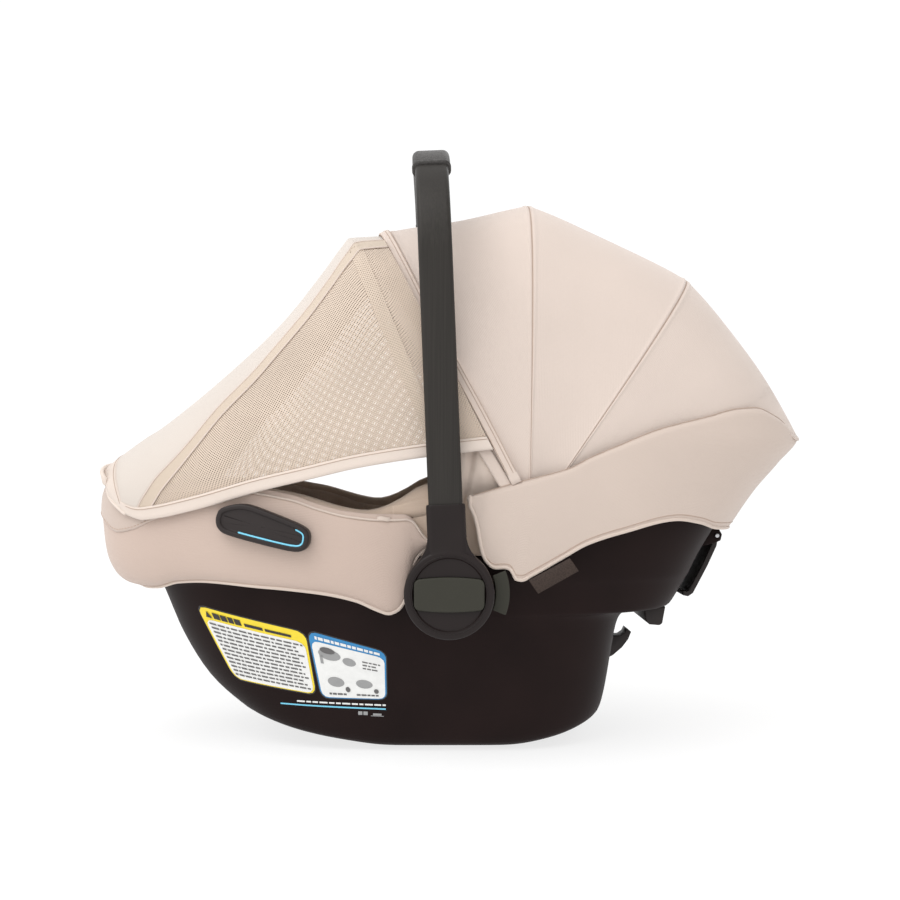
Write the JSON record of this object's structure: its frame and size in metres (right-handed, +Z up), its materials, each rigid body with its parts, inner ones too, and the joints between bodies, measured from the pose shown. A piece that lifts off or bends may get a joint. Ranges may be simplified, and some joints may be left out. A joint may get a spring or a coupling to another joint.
{
  "type": "infant car seat",
  "caption": "Rear-facing bucket infant carrier with a turning carry handle, folding canopy, pull-out mesh sunshade, harness and base latch.",
  "frame": {"origin": "On the ground, under the middle of the seat's bounding box.", "axes": "+Z up; +X from the foot end to the head end; -Y is the child's left-hand side as the seat is drawn, named left in the nodes."},
  "size_m": [0.698, 0.428, 0.5724],
  "materials": {
    "shell_plastic": "matte, fine grain",
    "hub_plastic": "satin",
    "olive_plastic": "matte",
    "arm_metal": "satin powder coat",
    "grip_leather": "stitched leatherette",
    "canopy_cloth": "smooth knit",
    "shade_cloth": "fine open mesh",
    "foam": "moulded foam",
    "pad_cloth": "brushed knit over wadding",
    "webbing": "woven webbing",
    "black_plastic": "matte",
    "red_plastic": "gloss",
    "steel": "brushed",
    "bow_plastic": "satin",
    "tag_leather": "embossed"
  },
  "bodies": {
    "carrier": {"shell": "shell_plastic", "foam_liner": "foam", "seat_pad": "pad_cloth", "body_insert": "pad_cloth", "head_support": "pad_cloth", "foot_cover": "canopy_cloth", "head_skirt": "canopy_cloth", "rear_foot": "black_plastic", "lever_pin": "steel", "hook_pin": "steel", "side_tag": "tag_leather", "crotch_strap": "webbing", "buckle": "black_plastic", "adjuster_housing": "black_plastic", "adjuster_strap": "webbing", "lever_bracket_left": "shell_plastic", "lever_bracket_right": "shell_plastic", "shoulder_strap_left": "webbing", "shoulder_strap_right": "webbing", "harness_pad_left": "pad_cloth", "harness_pad_right": "pad_cloth", "hip_strap_left": "webbing", "hip_strap_right": "webbing", "tongue_left": "steel", "tongue_right": "steel", "belt_guide_left": "black_plastic", "belt_guide_right": "black_plastic", "pivot_boss_left": "shell_plastic", "pivot_boss_right": "shell_plastic", "pivot_axle_left": "steel", "pivot_axle_right": "steel", "button_spring_left": "steel", "button_spring_right": "steel", "canopy_pin_left": "steel", "canopy_pin_right": "steel"},
    "handle": {"handle_arm_left": "arm_metal", "handle_arm_right": "arm_metal", "hub_left": "hub_plastic", "hub_right": "hub_plastic", "handle_grip": "grip_leather"},
    "handle_button_left": {"handle_button_left": "olive_plastic"},
    "handle_button_right": {"handle_button_right": "olive_plastic"},
    "release_button_left": {"release_button_left": "olive_plastic"},
    "release_button_right": {"release_button_right": "olive_plastic"},
    "rear_bow": {"rear_bow": "bow_plastic", "canopy_rear_panel": "canopy_cloth"},
    "middle_bow": {"middle_bow": "bow_plastic", "canopy_middle_panel": "canopy_cloth"},
    "front_bow": {"front_bow": "bow_plastic", "canopy_front_panel": "canopy_cloth"},
    "sunshade_bow": {"sunshade_bow": "bow_plastic", "sunshade": "shade_cloth"},
    "sunshade_hem": {"sunshade_hem": "canopy_cloth"},
    "release_lever": {"release_lever": "black_plastic"},
    "latch_hook": {"latch_hook": "black_plastic"},
    "chest_clip": {"chest_clip": "black_plastic"},
    "buckle_button": {"buckle_button": "red_plastic"},
    "adjuster_lever": {"adjuster_lever": "olive_plastic"}
  },
  "joints": [
    {"name": "handle_turn", "type": "hinge", "parent": "carrier", "child": "handle", "pos_m": [0, 0, 0.157], "axis": [0, 1, 0], "range_deg": [0, 108]},
    {"name": "handle_button_press_left", "type": "slide", "parent": "handle", "child": "handle_button_left", "axis": [0, 1, 0], "range_m": [0, 0.003], "stiffness_N_per_m": 1500, "springref_m": -0.002, "deforming": ["button_spring_left"]},
    {"name": "release_button_press_left", "type": "slide", "parent": "carrier", "child": "release_button_left", "axis": [0, 1, 0], "range_m": [0, 0.003], "stiffness_N_per_m": 1500, "springref_m": -0.002},
    {"name": "handle_button_press_right", "type": "slide", "parent": "handle", "child": "handle_button_right", "axis": [0, -1, 0], "range_m": [0, 0.003], "stiffness_N_per_m": 1500, "springref_m": -0.002, "deforming": ["button_spring_right"]},
    {"name": "release_button_press_right", "type": "slide", "parent": "carrier", "child": "release_button_right", "axis": [0, -1, 0], "range_m": [0, 0.003], "stiffness_N_per_m": 1500, "springref_m": -0.002},
    {"name": "canopy_fold", "type": "hinge", "parent": "carrier", "child": "rear_bow", "pos_m": [0.073, 0, 0.218], "axis": [0, 1, 0], "range_deg": [0, 25], "deforming": ["canopy_rear_panel"]},
    {"name": "middle_bow_fold", "type": "hinge", "parent": "rear_bow", "child": "middle_bow", "pos_m": [0.073, 0, 0.218], "axis": [0, 1, 0], "range_deg": [0, 22], "deforming": ["canopy_middle_panel"]},
    {"name": "front_bow_fold", "type": "hinge", "parent": "middle_bow", "child": "front_bow", "pos_m": [0.073, 0, 0.218], "axis": [0, 1, 0], "range_deg": [0, 16.5], "deforming": ["canopy_front_panel"]},
    {"name": "sunshade_bow_fold", "type": "hinge", "parent": "front_bow", "child": "sunshade_bow", "pos_m": [0.073, 0, 0.218], "axis": [0, 1, 0], "range_deg": [0, 3.5]},
    {"name": "sunshade_retract", "type": "slide", "parent": "sunshade_bow", "child": "sunshade_hem", "axis": [0.6835, 0, 0.73], "range_m": [0, 0.31], "deforming": ["sunshade"]},
    {"name": "release_lever_pull", "type": "hinge", "parent": "carrier", "child": "release_lever", "pos_m": [0.2682, 0, 0.2], "axis": [0, -1, 0], "range_deg": [0, 18], "stiffness_Nm_per_rad": 0.6, "springref_deg": -17.19},
    {"name": "latch_hook_turn", "type": "hinge", "parent": "carrier", "child": "latch_hook", "pos_m": [0.13, 0, 0.07], "axis": [0, 1, 0], "range_deg": [0, 22]},
    {"name": "chest_clip_slide", "type": "slide", "parent": "carrier", "child": "chest_clip", "axis": [-0.9244, 0, -0.3814], "range_m": [-0.008, 0.015]},
    {"name": "buckle_button_press", "type": "slide", "parent": "carrier", "child": "buckle_button", "axis": [0, 0, -1], "range_m": [0, 0.003], "stiffness_N_per_m": 1500, "springref_m": -0.003},
    {"name": "adjuster_lever_lift", "type": "hinge", "parent": "carrier", "child": "adjuster_lever", "pos_m": [-0.12099, 0, 0.12696], "axis": [0, 1, 0], "range_deg": [0, 15], "stiffness_Nm_per_rad": 0.2, "springref_deg": -17.19}
  ],
  "couplings": [
    {"joint": "middle_bow_fold", "follows": "canopy_fold", "ratio": 0.88},
    {"joint": "front_bow_fold", "follows": "canopy_fold", "ratio": 0.66},
    {"joint": "sunshade_bow_fold", "follows": "canopy_fold", "ratio": 0.14},
    {"joint": "sunshade_retract", "follows": "canopy_fold", "m_per_rad": 0.7082},
    {"joint": "latch_hook_turn", "follows": "release_lever_pull", "ratio": 1.2}
  ]
}
